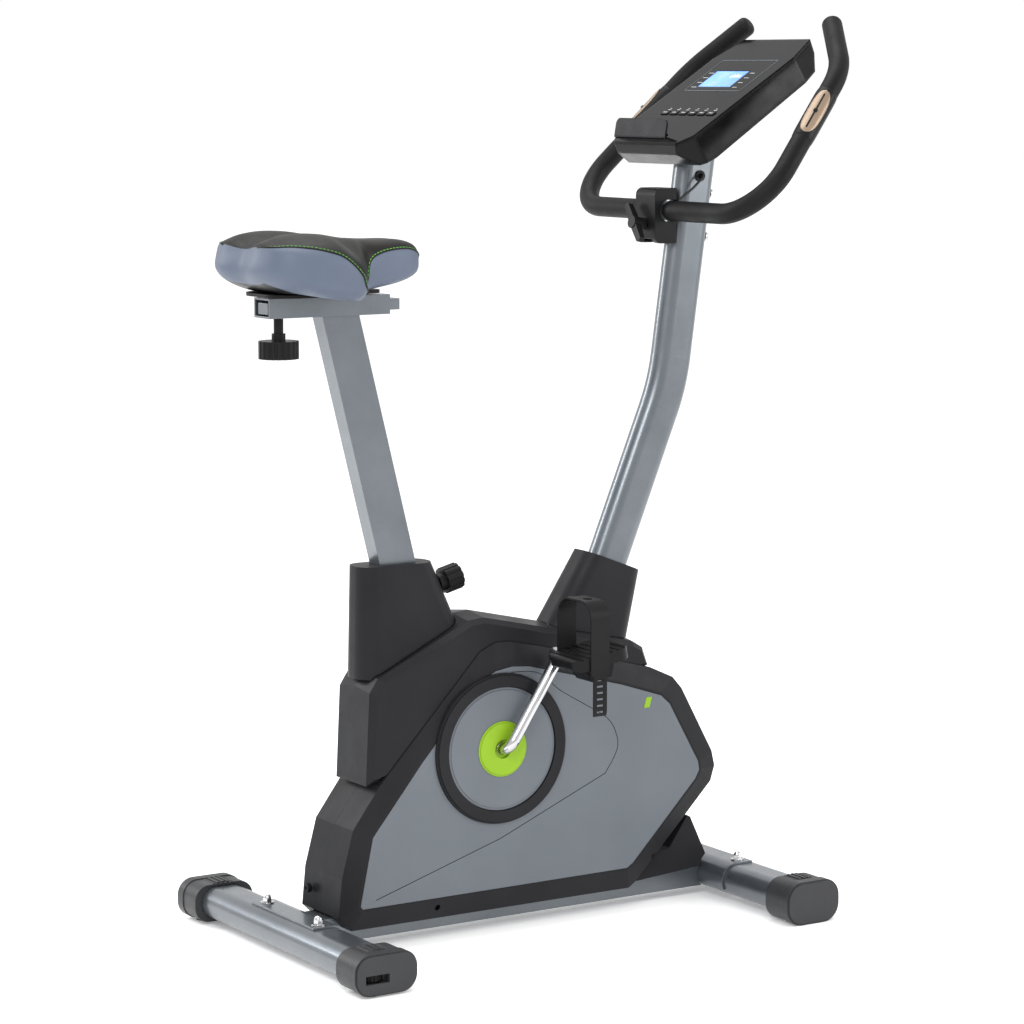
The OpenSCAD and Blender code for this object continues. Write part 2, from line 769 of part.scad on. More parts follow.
module magnet_arm() color([0.7, 0.7, 0.2]) at() difference() {
    union() {
        difference() {
            ybar(fly_r + 12, -18, 18, fly_x, fly_z);
            ybar(fly_r + 4, -20, 20, fly_x, fly_z);
            translate([fly_x - 200, -50, fly_z - 200]) cube([400, 100, 235]);
            translate([fly_x + 40, -50, fly_z - 200]) cube([200, 100, 500]);
        }
        ybar(9, -18, 18, arm_px, arm_pz);
    }
    ybar(4.06, -50, 50, arm_px, arm_pz);
    ybar(fly_r + 4, -50, 50, fly_x, fly_z);
}

module idler_wheel() color(black) at() difference() {
    union() {
        ybar(idler_r, pulley_y0 + 1, pulley_y1 - 1, idler_x, idler_z);
        ybar(idler_r + 2, pulley_y1 - 1, pulley_y1 + 0.8, idler_x, idler_z);
    }
    ybar(4.06, 0, 80, idler_x, idler_z);
}

module drive_belt() color([0.05, 0.05, 0.05]) at() side(pulley_y0 + 1.5, pulley_y1 - 1.5) difference() {
    hull() {
        translate([axle_x, axle_z]) circle(pulley_r + gap + belt_t);
        translate([fly_x, fly_z]) circle(small_r + gap + belt_t);
    }
    hull() {
        translate([axle_x, axle_z]) circle(pulley_r + gap);
        translate([fly_x, fly_z]) circle(small_r + gap);
    }
}

module servo() color([0.85, 0.85, 0.82]) at() translate([36, -42, 60]) {
    cube([62, 24, 44]);
    translate([12, 12, 44]) cylinder(r = 9, h = 8);
    translate([-6, 0, -5]) cube([74, 24, 5]);
}

// ---- crank set -----------------------------------------------------------------

// one arm of the one-piece crank, for the right side
module crank_arm() {
    turn = bar_r + 9;
    translate([axle_x, 0, axle_z]) rotate([0, -crank_deg, 0]) {
        translate([turn, -arm_y + turn, 0]) rotate(180) rotate_extrude(angle = 90) translate([turn, 0]) circle(bar_r);
        translate([turn - joint_lap, -arm_y, 0]) rotate([0, 90, 0]) cylinder(r = bar_r, h = crank_len - turn);
        translate([crank_len, -arm_y, 0]) rotate([90, 0, 0]) cylinder(r = 14, h = 18, center = true);
    }
}

module crank() color([0.85, 0.86, 0.88]) at() difference() {
    union() {
        ybar(bar_r, -arm_y + bar_r + 9, arm_y - bar_r - 9, axle_x, axle_z);
        both() ybar(bar_r + joint_lap, -arm_y + bar_r + 8, -arm_y + bar_r + 10, axle_x, axle_z);
        crank_arm();
        translate([2 * axle_x, 0, 2 * axle_z]) rotate([0, 180, 0]) mirror([0, 1, 0]) crank_arm();
    }
    ybar(spindle_r, -140, -60, axle_x + tip_dx, axle_z + tip_dz);
    ybar(spindle_r, 60, 140, axle_x - tip_dx, axle_z - tip_dz);
}

module drive_pulley() color([0.12, 0.12, 0.12]) at() difference() {
    union() {
        ybar(pulley_r, pulley_y0, pulley_y1, axle_x, axle_z);
        ybar(26, pulley_y0, pulley_y1 + 4, axle_x, axle_z);
    }
    ybar(bar_r, 0, 80, axle_x, axle_z);
    for (a = [0 : 60 : 300]) translate([axle_x, 0, axle_z]) rotate([0, a, 0]) ybar(22, 0, 80, 68, 0);
}

// rotating disc beside each crank arm
module crank_discs() color(panel_grey) at() both() difference() {
    union() {
        ybar(disc_r, -panel_half - 5.5, -panel_half - 1.5, axle_x, axle_z);
        ybar(disc_r - 4, -panel_half - 6.5, -panel_half - 1.5, axle_x, axle_z);
    }
    ybar(hub_r, -100, 0, axle_x, axle_z);
}

module crank_hubs() color(lime) at() both() difference() {
    union() {
        ybar(hub_r, -panel_half - 7.5, -panel_half - 1.5, axle_x, axle_z);
        ybar(hub_r - 3, -panel_half - 9, -panel_half - 1.5, axle_x, axle_z);
    }
    ybar(15, -100, -panel_half - 4, axle_x, axle_z);
    ybar(bar_r, -100, 0, axle_x, axle_z);
}

module pedal_spindle() ybar(spindle_r, -pedal_in - pedal_w + 8, -arm_y + 9, 0, 0);

module pedal_spindles() color([0.6, 0.6, 0.62]) at() {
    translate([axle_x + tip_dx, 0, axle_z + tip_dz]) pedal_spindle();
    translate([axle_x - tip_dx, 0, axle_z - tip_dz]) mirror([0, 1, 0]) pedal_spindle();
}

// right pedal about its own spindle, pitched nose up
module pedal_body() rotate([0, -pedal_pitch, 0]) difference() {
    union() {
        translate([pedal_fwd, 0, pedal_rise]) difference() {
            intersection() {
                side(-pedal_in - pedal_w, -pedal_in) rounded(pedal_len, tread_t, 8);
                translate([0, -pedal_in - pedal_w / 2, -50]) linear_extrude(100)
                    rounded(pedal_len, pedal_w, 22);
            }
            for (x = [-pedal_len / 2 + 12 : 13 : pedal_len / 2 - 10])
                translate([x, -pedal_in - pedal_w / 2, tread_t / 2]) cube([3.5, pedal_w + 10, 4], center = true);
        }
        ybar(13, -pedal_in - pedal_w + 10, -pedal_in - 2, 0, 0);
        translate([pedal_fwd, 0, 0]) side(-pedal_in - pedal_w + 22, -pedal_in - 22)
            polygon([[-30, 0], [34, 0], [22, -30], [-14, -30]]);
    }
    ybar(spindle_r + 0.06, -pedal_in - pedal_w + 7.5, 0, 0, 0);
}

// strap over the instep, with its slotted tail hanging outside
module strap_body() translate([2 - strap_w / 2, 0, 0]) difference() {
    rotate([90, 0, 90]) linear_extrude(strap_w) difference() {
        translate([-pedal_in - pedal_w / 2, (strap_top + strap_tail) / 2])
            rounded(pedal_w + 2 * strap_t, strap_top - strap_tail, 30);
        translate([-pedal_in - pedal_w / 2, (strap_top + strap_tail) / 2])
            rounded(pedal_w, strap_top - strap_tail - 2 * strap_t, 27);
        translate([-pedal_in - 30, strap_tail - 1]) square([40, -strap_tail + 9]);
        translate([-pedal_in - pedal_w + 2 - strap_t, strap_tail - 1]) square([pedal_w, -strap_tail + 3]);
    }
    for (i = [0 : 6]) translate([strap_w / 2, -pedal_in - pedal_w - 2, -22 - i * 10])
        cube([12, 12, 3.4], center = true);
    for (x = [-1, strap_w - (strap_w - tail_w) / 2]) translate([x, -pedal_in - pedal_w - 20, strap_tail - 1])
        cube([(strap_w - tail_w) / 2 + 1, 40, -strap_tail - 14]);
    translate([strap_w / 2, -pedal_in - pedal_w / 2 - 12, strap_top - 12]) cylinder(r = 8, h = 24);
}

module pedal_right() color(black) at() translate([axle_x + tip_dx, 0, axle_z + tip_dz]) pedal_body();
module strap_right() color(black) at() translate([axle_x + tip_dx, 0, axle_z + tip_dz]) strap_body();
module pedal_left() color(black) at() translate([axle_x - tip_dx, 0, axle_z - tip_dz])
    mirror([0, 1, 0]) pedal_body();
module strap_left() color(black) at() translate([axle_x - tip_dx, 0, axle_z - tip_dz])
    mirror([0, 1, 0]) strap_body();

// ---- seat ----------------------------------------------------------------------

module seat_post() color(steel_grey) at() difference() {
    union() {
        seat_bar(post_d, post_w, post_bottom, head_z - head_h / 2 + 8);
        translate([head_x, 0, head_z]) cube([head_len, head_w, head_h], center = true);
    }
    difference() {
        seat_bar(post_d - 5, post_w - 5, post_bottom - 10, head_z);
        translate([head_x, 0, head_z]) cube([head_len, head_w, head_h], center = true);
    }
    translate([head_x, 0, head_z]) cube([head_len + 2, head_w - 6, head_h - 6], center = true);
    translate([head_x - 8, 0, head_z + head_h / 2]) cube([168, 22, 10], center = true);
    translate([seat_knob_x, 0, head_z - 30]) cylinder(r = 5.06, h = 20);
    for (i = [0 : 9]) translate([0, 0, -25 * i * cos(seat_lean)]) translate([25 * i * sin(seat_lean), 0, 0])
        on_pin() translate([0, 0, 20]) cylinder(r = 5.4, h = 20);
}

module seat_slider() color([0.5, 0.52, 0.54]) at() {
    translate([-354, 0, head_z - 1]) cube([228, slider_w, slider_h], center = true);
    translate([-380, 0, head_z + 10.5]) cube([66, 18, 13], center = true);
}

module saddle_pan() color(black) at() hull() {
    translate([-430, 0, 1013]) linear_extrude(5) rounded(96, 130, 40, $fn = 32);
    translate([-300, 0, 1013]) linear_extrude(5) rounded(60, 40, 18, $fn = 32);
}

module saddle_lobe(x, y, z, r) translate([x, y, z]) sphere(r = r, $fn = 28);

module saddle() color([0.35, 0.38, 0.42]) at() difference() {
    union() {
        hull() {
            both() saddle_lobe(-442, saddle_half - 52, 1066, 52);
            both() saddle_lobe(-400, saddle_half - 74, 1068, 50);
            both() saddle_lobe(-470, saddle_half - 66, 1060, 42);
        }
        hull() {
            both() saddle_lobe(-400, 30, 1066, 50);
            both() saddle_lobe(-236, 6, 1068, 34);
        }
    }
    translate([-600, -200, 900]) cube([600, 400, 118]);
    hull() {
        translate([-540, 0, 1150]) rotate([0, 90, 0]) cylinder(r = 36, h = 10, $fn = 32);
        translate([-380, 0, 1164]) rotate([0, 90, 0]) cylinder(r = 40, h = 10, $fn = 32);
    }
}

module fluted_knob(r, h, flutes) difference() {
    cylinder(r = r, h = h);
    for (a = [0 : 360 / flutes : 359]) rotate(a) translate([r + 1, 0, -1]) cylinder(r = 2.6, h = h + 2);
}

module seat_knob() color(black) at() translate([seat_knob_x, 0, 919]) {
    fluted_knob(30.5, 27, 20);
    cylinder(r = 10.5, h = 38);
    cylinder(r = 7.3, h = 60);
    cylinder(r = 5, h = head_z - slider_h / 2 - 1.4 - 919);
}

module pull_knob() color(black) at() on_pin() {
    translate([0, 0, post_d / 2 + gap]) cylinder(r = 5, h = 60);
    translate([0, 0, 68]) cylinder(r = 15, h = 12);
    translate([0, 0, 79]) fluted_knob(21, 28, 12);
}

// ---- handlebar -----------------------------------------------------------------

arm_path = [[bar_x, foam_gap_y, bar_z], bar_corner, bar_bend, bar_tip];
arm_bends = [80, 117];
bar_path = [[bar_x, foam_gap_y - 2, bar_z], bar_corner, bar_bend, bar_tip + 2 * unit(bar_tip - bar_bend)];

module handlebar() color([0.3, 0.3, 0.32]) at() {
    ybar(steel_r, -foam_gap_y - 1, foam_gap_y + 1, bar_x, bar_z);
    both() pipe(arm_path, arm_bends, steel_r);
}

module sensor_bar(r, l) translate(sensor_mid) rotate([0, 0, atan2(grip_back[1], grip_back[0])])
    rotate([0, acos(grip_back[2]), 0]) cylinder(r = r, h = l, center = true);

module foam_grips() color([0.1, 0.1, 0.11]) at() both() difference() {
    pipe(arm_path, arm_bends, foam_r);
    pipe(bar_path, arm_bends, steel_r + 0.05);
    sensor_bar(30, sensor_len + 0.2);
}

module pulse_sensors() color([0.6, 0.5, 0.4]) at() both() difference() {
    sensor_bar(18, sensor_len);
    pipe(bar_path, arm_bends, steel_r + 0.05);
}

// T-shaped screw that clamps the handlebar
module bar_knob() color(black) at() on_bar_knob() {
    translate([0, 0, -12]) cylinder(r = 4, h = 46);
    translate([0, 0, 22]) cylinder(r = 10, h = 24);
    translate([0, 0, 33]) for (s = [-1, 1]) rotate([0, 0, 42]) hull() {
        cylinder(r = 7, h = 11.7, $fn = 32);
        translate([s * 34, 0, 2]) cylinder(r = 5.5, h = 9, $fn = 32);
    }
}

// ---- build ---------------------------------------------------------------------

base_rail();
saddle_brackets();
frame_uprights();
rear_stabilizer();
front_stabilizer();
rear_caps();
front_caps();
frame_bolts();
shell_left();
shell_right();
shoulders();
side_panels();
disc_rings();
seat_boot();
mast_boot();
dc_inlet();
shell_screws();
mast();
clamp_cover();
cable_grommet();
pulse_cable();
console_base();
console_face();
display();
tablet_ledge();
drive_carriers();
servo();
drive_belt();
flywheel();
magnet_arm();
idler_wheel();
crank();
drive_pulley();
crank_discs();
crank_hubs();
pedal_spindles();
pedal_left();
strap_left();
pedal_right();
strap_right();
seat_post();
pull_knob();
seat_slider();
saddle_pan();
saddle();
seat_knob();
handlebar();
foam_grips();
pulse_sensors();
bar_knob();
key_1();
key_2();
key_3();
key_4();
key_5();
key_6();
wheel_left();
wheel_right();
dial_left();
dial_right();
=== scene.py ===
import math

import bmesh
import bpy
from mathutils import Matrix, Vector


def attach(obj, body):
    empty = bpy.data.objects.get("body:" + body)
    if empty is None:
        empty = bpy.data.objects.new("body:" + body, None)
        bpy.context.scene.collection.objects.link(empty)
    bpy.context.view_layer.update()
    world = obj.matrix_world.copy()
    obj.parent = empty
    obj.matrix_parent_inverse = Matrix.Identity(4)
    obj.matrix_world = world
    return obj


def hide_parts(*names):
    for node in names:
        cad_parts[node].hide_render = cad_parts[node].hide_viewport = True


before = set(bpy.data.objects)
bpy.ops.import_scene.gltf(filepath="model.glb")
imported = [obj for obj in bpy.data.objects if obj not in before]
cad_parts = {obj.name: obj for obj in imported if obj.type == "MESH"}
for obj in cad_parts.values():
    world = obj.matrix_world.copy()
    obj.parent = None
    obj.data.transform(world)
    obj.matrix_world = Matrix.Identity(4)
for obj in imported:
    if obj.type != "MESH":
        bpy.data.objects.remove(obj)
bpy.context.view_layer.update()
SHIFT = -5.7  # the part's own shift along X, in millimetres


def mm(x, y, z):
    """A point given in the part's drawing coordinates, in metres in the row frame."""
    return Vector(((x + SHIFT) / 1000, y / 1000, z / 1000))


# ---------------------------------------------------------------- materials


class Nodes:
    """A small wrapper that builds one node material."""

    def __init__(self, name):
        self.mat = bpy.data.materials.new(name)
        self.mat.use_nodes = True
        self.tree = self.mat.node_tree
        self.bsdf = self.tree.nodes["Principled BSDF"]
        self.coord = self.add("ShaderNodeTexCoord").outputs["Object"]

    def add(self, kind, **values):
        n = self.tree.nodes.new(kind)
        for k, v in values.items():
            if k in n.inputs:
                n.inputs[k].default_value = v
            else:
                setattr(n, k, v)
        return n

    def link(self, a, b):
        self.tree.links.new(a, b)

    def set(self, **values):
        """Values straight on the shader's sockets; an underscore stands for a space in a socket's name."""
        for k, v in values.items():
            self.bsdf.inputs[k.replace("_", " ")].default_value = v

    def noise(self, scale, detail=4, rough=0.5, stretch=None):
        n = self.add("ShaderNodeTexNoise")
        n.inputs["Scale"].default_value = scale
        n.inputs["Detail"].default_value = detail
        n.inputs["Roughness"].default_value = rough
        source = self.coord
        if stretch:
            m = self.add("ShaderNodeMapping")
            m.inputs["Scale"].default_value = stretch
            self.link(self.coord, m.inputs["Vector"])
            source = m.outputs["Vector"]
        self.link(source, n.inputs["Vector"])
        return n.outputs["Fac"]

    def ramp(self, fac, a, b, low=0.0, high=1.0):
        """Maps a...b to low...high."""
        r = self.add("ShaderNodeMapRange")
        r.inputs["From Min"].default_value = a
        r.inputs["From Max"].default_value = b
        r.inputs["To Min"].default_value = low
        r.inputs["To Max"].default_value = high
        self.link(fac, r.inputs["Value"])
        return r.outputs["Result"]

    def mix(self, fac, a, b):
        """A blend of two colours by fac."""
        m = self.add("ShaderNodeMix", data_type="RGBA")
        sockets = [s for s in m.inputs if s.type == "RGBA"]
        sockets[0].default_value = (*a, 1)
        sockets[1].default_value = (*b, 1)
        self.link(fac, m.inputs[0])
        return [s for s in m.outputs if s.type == "RGBA"][0]

    def bump(self, height, strength, distance=0.0005, soft=0.0012):
        """Fine relief on top of edges rounded over soft metres."""
        b = self.add("ShaderNodeBump")
        b.inputs["Strength"].default_value = strength
        b.inputs["Distance"].default_value = distance
        self.link(height, b.inputs["Height"])
        if soft:
            e = self.add("ShaderNodeBevel")
            e.samples = 4
            e.inputs["Radius"].default_value = soft
            self.link(e.outputs["Normal"], b.inputs["Normal"])
        self.link(b.outputs["Normal"], self.bsdf.inputs["Normal"])


def plastic(name, low, high, rough, grain=900, depth=0.25, soft=0.0014, spec=0.45):
    """Moulded plastic, rubber, foam or vinyl: colour from low to high, with a fine grain."""
    n = Nodes(name)
    n.link(n.mix(n.ramp(n.noise(9, 5), 0.3, 0.7), low, high), n.bsdf.inputs["Base Color"])
    n.link(n.ramp(n.noise(35, 4), 0.3, 0.7, rough - 0.05, rough + 0.06), n.bsdf.inputs["Roughness"])
    n.set(Specular_IOR_Level=spec)
    n.bump(n.noise(grain, 3, 0.6), depth, 0.0002, soft)
    return n.mat


def metal(name, low, high, rough, metallic, grain=420, depth=0.08, coat=0.0, stretch=None, soft=0.001):
    """Bare or painted metal; stretch draws its marks out along an axis, as brushing does."""
    n = Nodes(name)
    n.link(n.mix(n.ramp(n.noise(14, 5), 0.3, 0.7), low, high), n.bsdf.inputs["Base Color"])
    wear = n.ramp(n.noise(60, 5, 0.6, stretch), 0.25, 0.75, rough - 0.04, rough + 0.05)
    n.link(wear, n.bsdf.inputs["Roughness"])
    n.set(Metallic=metallic, Coat_Weight=coat, Coat_Roughness=0.12)
    n.bump(n.noise(grain, 4, 0.6, stretch), depth, 0.0002, soft)
    return n.mat


MATS = {
    "paint": metal("frame_paint", (0.115, 0.13, 0.145), (0.14, 0.156, 0.172), 0.3,
                   0.72, grain=1500, depth=0.1, coat=0.35),
    "zinc": metal("zinc", (0.5, 0.51, 0.52), (0.6, 0.61, 0.62), 0.34, 1.0, stretch=(1, 14, 1)),
    "chrome": metal("chrome", (0.5, 0.5, 0.51), (0.6, 0.6, 0.61), 0.13, 1.0, grain=200, depth=0.02),
    "iron": metal("iron", (0.14, 0.14, 0.145), (0.2, 0.2, 0.205), 0.42, 0.9, stretch=(1, 8, 1)),
    "shell": plastic("shell_dark", (0.0115, 0.0115, 0.013), (0.016, 0.016, 0.018), 0.42,
                     grain=1400, depth=0.35, spec=0.12),
    "cap": plastic("cap_dark", (0.024, 0.0245, 0.026), (0.032, 0.0325, 0.035), 0.42,
                   grain=1400, depth=0.35, spec=0.3),
    "panel": plastic("panel_grey", (0.092, 0.106, 0.122), (0.108, 0.122, 0.14), 0.42, grain=1600, depth=0.3),
    "black": plastic("black_plastic", (0.006, 0.006, 0.0065), (0.0095, 0.0095, 0.01), 0.36,
                     grain=1300, depth=0.25, spec=0.12),
    "strap": plastic("strap_rubber", (0.006, 0.006, 0.0065), (0.011, 0.011, 0.0115), 0.42,
                     grain=800, depth=0.4, spec=0.12),
    "gloss": plastic("console_gloss", (0.002, 0.002, 0.0024), (0.0035, 0.0035, 0.004), 0.12,
                     grain=300, depth=0.03, soft=0.004, spec=0.08),
    "edge": plastic("console_case", (0.003, 0.003, 0.0034), (0.005, 0.005, 0.0055), 0.2,
                    grain=900, depth=0.08, soft=0.007, spec=0.14),
    "green": plastic("green_plastic", (0.2, 0.36, 0.01), (0.24, 0.41, 0.015), 0.4,
                     grain=900, depth=0.15, spec=0.25),
    "belt": plastic("belt_rubber", (0.012, 0.012, 0.012), (0.02, 0.02, 0.02), 0.6),
    "foam": plastic("foam", (0.005, 0.005, 0.0052), (0.009, 0.009, 0.0094), 0.5,
                    grain=1000, depth=0.8, soft=0.003, spec=0.12),
    "tan": metal("sensor_plate", (0.22, 0.16, 0.11), (0.28, 0.205, 0.145), 0.36, 0.45, grain=700, depth=0.15),
    "vinyl_dark": plastic("vinyl_dark", (0.006, 0.0054, 0.005), (0.011, 0.0098, 0.009), 0.48,
                          grain=520, depth=0.85, soft=0, spec=0.18),
    "vinyl_grey": plastic("vinyl_grey", (0.08, 0.1, 0.142), (0.098, 0.121, 0.168), 0.5,
                          grain=560, depth=0.8, soft=0, spec=0.3),
    "thread": plastic("thread", (0.07, 0.3, 0.03), (0.1, 0.36, 0.045), 0.6, grain=2500, depth=0.5, soft=0),
    "white": plastic("print_white", (0.5, 0.5, 0.5), (0.6, 0.6, 0.6), 0.5, soft=0),
}


def lcd_material():
    """A faintly lit blue display."""
    n = Nodes("lcd")
    glow = n.mix(n.ramp(n.noise(20, 3), 0.3, 0.7), (0.08, 0.24, 0.78), (0.2, 0.42, 0.95))
    n.link(glow, n.bsdf.inputs["Base Color"])
    n.link(glow, n.bsdf.inputs["Emission Color"])
    n.set(Emission_Strength=0.12, Roughness=0.2)
    return n.mat


MATS["lcd"] = lcd_material()

NODE_MATS = {
    "paint": ["base_rail", "saddle_brackets", "frame_uprights", "rear_stabilizer", "front_stabilizer", "mast",
              "seat_post", "seat_slider"],
    "zinc": ["drive_carriers", "magnet_arm", "pedal_spindles"],
    "chrome": ["crank", "frame_bolts"],
    "iron": ["flywheel"],
    "shell": ["shell_left", "shell_right", "shoulders", "seat_boot", "mast_boot", "disc_rings"],
    "cap": ["rear_caps", "front_caps"],
    "panel": ["side_panels", "crank_discs"],
    "black": ["handlebar", "dc_inlet", "shell_screws", "clamp_cover", "cable_grommet", "tablet_ledge",
              "servo", "idler_wheel", "drive_pulley", "pull_knob", "saddle_pan", "seat_knob",
              "pulse_sensors", "bar_knob", "dial_left", "dial_right", "pedal_left", "pedal_right",
              "key_1", "key_2", "key_3", "key_4", "key_5", "key_6"],
    "strap": ["strap_left", "strap_right"],
    "gloss": ["console_face"],
    "edge": ["console_base"],
    "green": ["crank_hubs"],
    "belt": ["drive_belt", "pulse_cable", "wheel_left", "wheel_right"],
    "foam": ["foam_grips"],
    "vinyl_grey": ["saddle"],
    "lcd": ["display"],
}
for key, names in NODE_MATS.items():
    for name in names:
        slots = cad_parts[name].data.materials
        slots.clear()
        slots.append(MATS[key])


# ---------------------------------------------------------------- mesh helpers


def new_mesh(name, verts, faces, mat, smooth=True, body=None):
    """A mesh object with outward normals and one material, riding on a body if one is named."""
    me = bpy.data.meshes.new(name)
    me.from_pydata([tuple(v) for v in verts], [], faces)
    me.validate()
    o = bpy.data.objects.new(name, me)
    bpy.context.collection.objects.link(o)
    bm = bmesh.new()
    bm.from_mesh(me)
    bmesh.ops.recalc_face_normals(bm, faces=bm.faces)
    bm.to_mesh(me)
    bm.free()
    for p in me.polygons:
        p.use_smooth = smooth
    me.materials.append(MATS[mat])
    if body:
        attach(o, body)
    return o


def apply_modifiers(o):
    """Puts the evaluated mesh in place of the base mesh."""
    dg = bpy.context.evaluated_depsgraph_get()
    me = bpy.data.meshes.new_from_object(o.evaluated_get(dg))
    o.modifiers.clear()
    o.data = me


def tube_along(name, points, radius, mat, body=None, sides=20):
    """A round capped tube through points; radius is a number or a list, one for each point."""
    n = len(points)
    radii = radius if isinstance(radius, (list, tuple)) else [radius] * n
    verts, faces = [], []
    last = None
    for i, p in enumerate(points):
        t = (points[min(i + 1, n - 1)] - points[max(i - 1, 0)]).normalized()
        u = Vector((0, 0, 1)).cross(t) if last is None else last - t * last.dot(t)
        if u.length < 1e-6:
            u = Vector((1, 0, 0)).cross(t)
        u.normalize()
        last = u
        v = t.cross(u)
        for k in range(sides):
            c = 2 * math.pi * k / sides
            verts.append(p + radii[i] * (u * math.cos(c) + v * math.sin(c)))
    for i in range(n - 1):
        for k in range(sides):
            q = (k + 1) % sides
            faces.append((i * sides + k, i * sides + q, (i + 1) * sides + q, (i + 1) * sides + k))
    faces.append(tuple(range(sides))[::-1])
    faces.append(tuple((n - 1) * sides + k for k in range(sides)))
    return new_mesh(name, verts, faces, mat, True, body)


def joined(name, objs):
    """Joins several meshes into one piece that keeps their materials."""
    base = objs[0]
    with bpy.context.temp_override(active_object=base, selected_editable_objects=objs, object=base,
                                   selected_objects=objs):
        bpy.ops.object.join()
    base.name = name
    return base


# ---------------------------------------------------------------- camera, light, floor

YAW = math.radians(32.5)
PITCH = math.radians(7.53)
cam_data = bpy.data.cameras.new("cam")
cam = bpy.data.objects.new("cam", cam_data)
bpy.context.collection.objects.link(cam)
cam.location = mm(-2841.75, -4418.55, 1350)
look = Vector((math.sin(YAW) * math.cos(PITCH), math.cos(YAW) * math.cos(PITCH), -math.sin(PITCH)))
cam.rotation_mode = "QUATERNION"
cam.rotation_quaternion = look.to_track_quat("-Z", "Y")
cam_data.lens = 117.77
cam_data.sensor_width = 36
cam_data.clip_end = 60
bpy.context.scene.camera = cam

FLOOR = 30  # half the width of the floor, in metres
floor = new_mesh("floor", [(-FLOOR, -FLOOR, 0), (FLOOR, -FLOOR, 0), (FLOOR, FLOOR, 0), (-FLOOR, FLOOR, 0)],
                 [(0, 1, 2, 3)], "white", False)
floor_mat = Nodes("floor_white")
cloud = floor_mat.ramp(floor_mat.noise(0.6, 2), 0.3, 0.7)
tone = floor_mat.mix(cloud, (0.93, 0.93, 0.93), (0.95, 0.95, 0.95))
floor_mat.link(tone, floor_mat.bsdf.inputs["Base Color"])
floor_mat.set(Roughness=0.9, Specular_IOR_Level=0.05, Emission_Color=(1, 1, 1, 1), Emission_Strength=0.22)
floor.data.materials[0] = floor_mat.mat

world = bpy.data.worlds.new("studio")
bpy.context.scene.world = world
world.use_nodes = True
world.node_tree.nodes["Background"].inputs[0].default_value = (1, 1, 1, 1)
world.node_tree.nodes["Background"].inputs[1].default_value = 1.0


def area_light(name, place, target, size, power, size_y=None):
    """A soft lamp at place that points at target."""
    d = bpy.data.lights.new(name, "AREA")
    d.energy = power
    d.size = size
    if size_y:
        d.shape = "RECTANGLE"
        d.size_y = size_y
    o = bpy.data.objects.new(name, d)
    bpy.context.collection.objects.link(o)
    o.location = place
    o.rotation_mode = "QUATERNION"
    o.rotation_quaternion = (Vector(target) - Vector(place)).to_track_quat("-Z", "Y")


area_light("key", (-2.6, -2.6, 3.0), (0, 0, 0.7), 1.4, 70)
area_light("fill", (2.8, -2.4, 1.8), (0, 0, 0.7), 1.6, 45)
area_light("top", (0, 0.6, 3.6), (0, 0, 0.6), 2.2, 60)
area_light("rim", (-2.2, 2.6, 2.2), (0, 0, 0.8), 0.8, 60, 2.2)

bpy.context.scene.view_settings.view_transform = "Standard"

# ---------------------------------------------------------------- saddle

# The cushion in drawing millimetres. Each table gives (t, value), with t from 0 at the rear to 1 at the nose:
# half width, height of the crown, of the widest line and of the lower edge.
SADDLE_X0, SADDLE_X1 = -509.0, -204.0
WIDTH = [(0, 0), (0.006, 40), (0.015, 62), (0.04, 88), (0.09, 108), (0.16, 119), (0.25, 123),
         (0.35, 123), (0.44, 119), (0.5, 112), (0.545, 98), (0.58, 76), (0.61, 58), (0.65, 49),
         (0.72, 46), (0.82, 44), (0.9, 40), (0.95, 33), (0.985, 20), (1, 0)]
TOP = [(0, 1088), (0.02, 1092), (0.06, 1097), (0.12, 1103), (0.22, 1107), (0.35, 1106), (0.5, 1101),
       (0.7, 1097), (0.85, 1096), (0.94, 1090), (0.98, 1080), (1, 1062)]
MID = [(0, 1087), (0.03, 1081), (0.08, 1072), (0.2, 1057), (0.4, 1050), (0.52, 1044), (0.65, 1050),
       (0.8, 1058), (1, 1060)]
BOTTOM = [(0, 1086), (0.004, 1066), (0.012, 1048), (0.03, 1036), (0.07, 1028), (0.14, 1020),
          (0.25, 1011), (0.36, 1004), (0.5, 1000), (0.57, 1003), (0.63, 1013), (0.7, 1018),
          (0.85, 1026), (0.94, 1035), (0.98, 1044), (1, 1058)]
BASE_Z = 1018.5  # the underside keeps above the pan here


def ease(a, b, t):
    """0 below a, 1 above b and a smooth step between them."""
    u = min(max((t - a) / (b - a), 0), 1)
    return u * u * (3 - 2 * u)


def curve_at(table, t):
    """A smooth value from a short table of (t, value)."""
    for (a, va), (b, vb) in zip(table, table[1:]):
        if t <= b:
            s = 0 if b == a else (t - a) / (b - a)
            i = table.index((a, va))
            before = table[max(i - 1, 0)]
            after = table[min(i + 2, len(table) - 1)]
            ma = (vb - before[1]) / max(b - before[0], 1e-6) * (b - a)
            mb = (after[1] - va) / max(after[0] - a, 1e-6) * (b - a)
            return ((2 * s**3 - 3 * s**2 + 1) * va + (s**3 - 2 * s**2 + s) * ma + (3 * s**2 - 2 * s**3) * vb
                    + (s**3 - s**2) * mb)
    return table[-1][1]


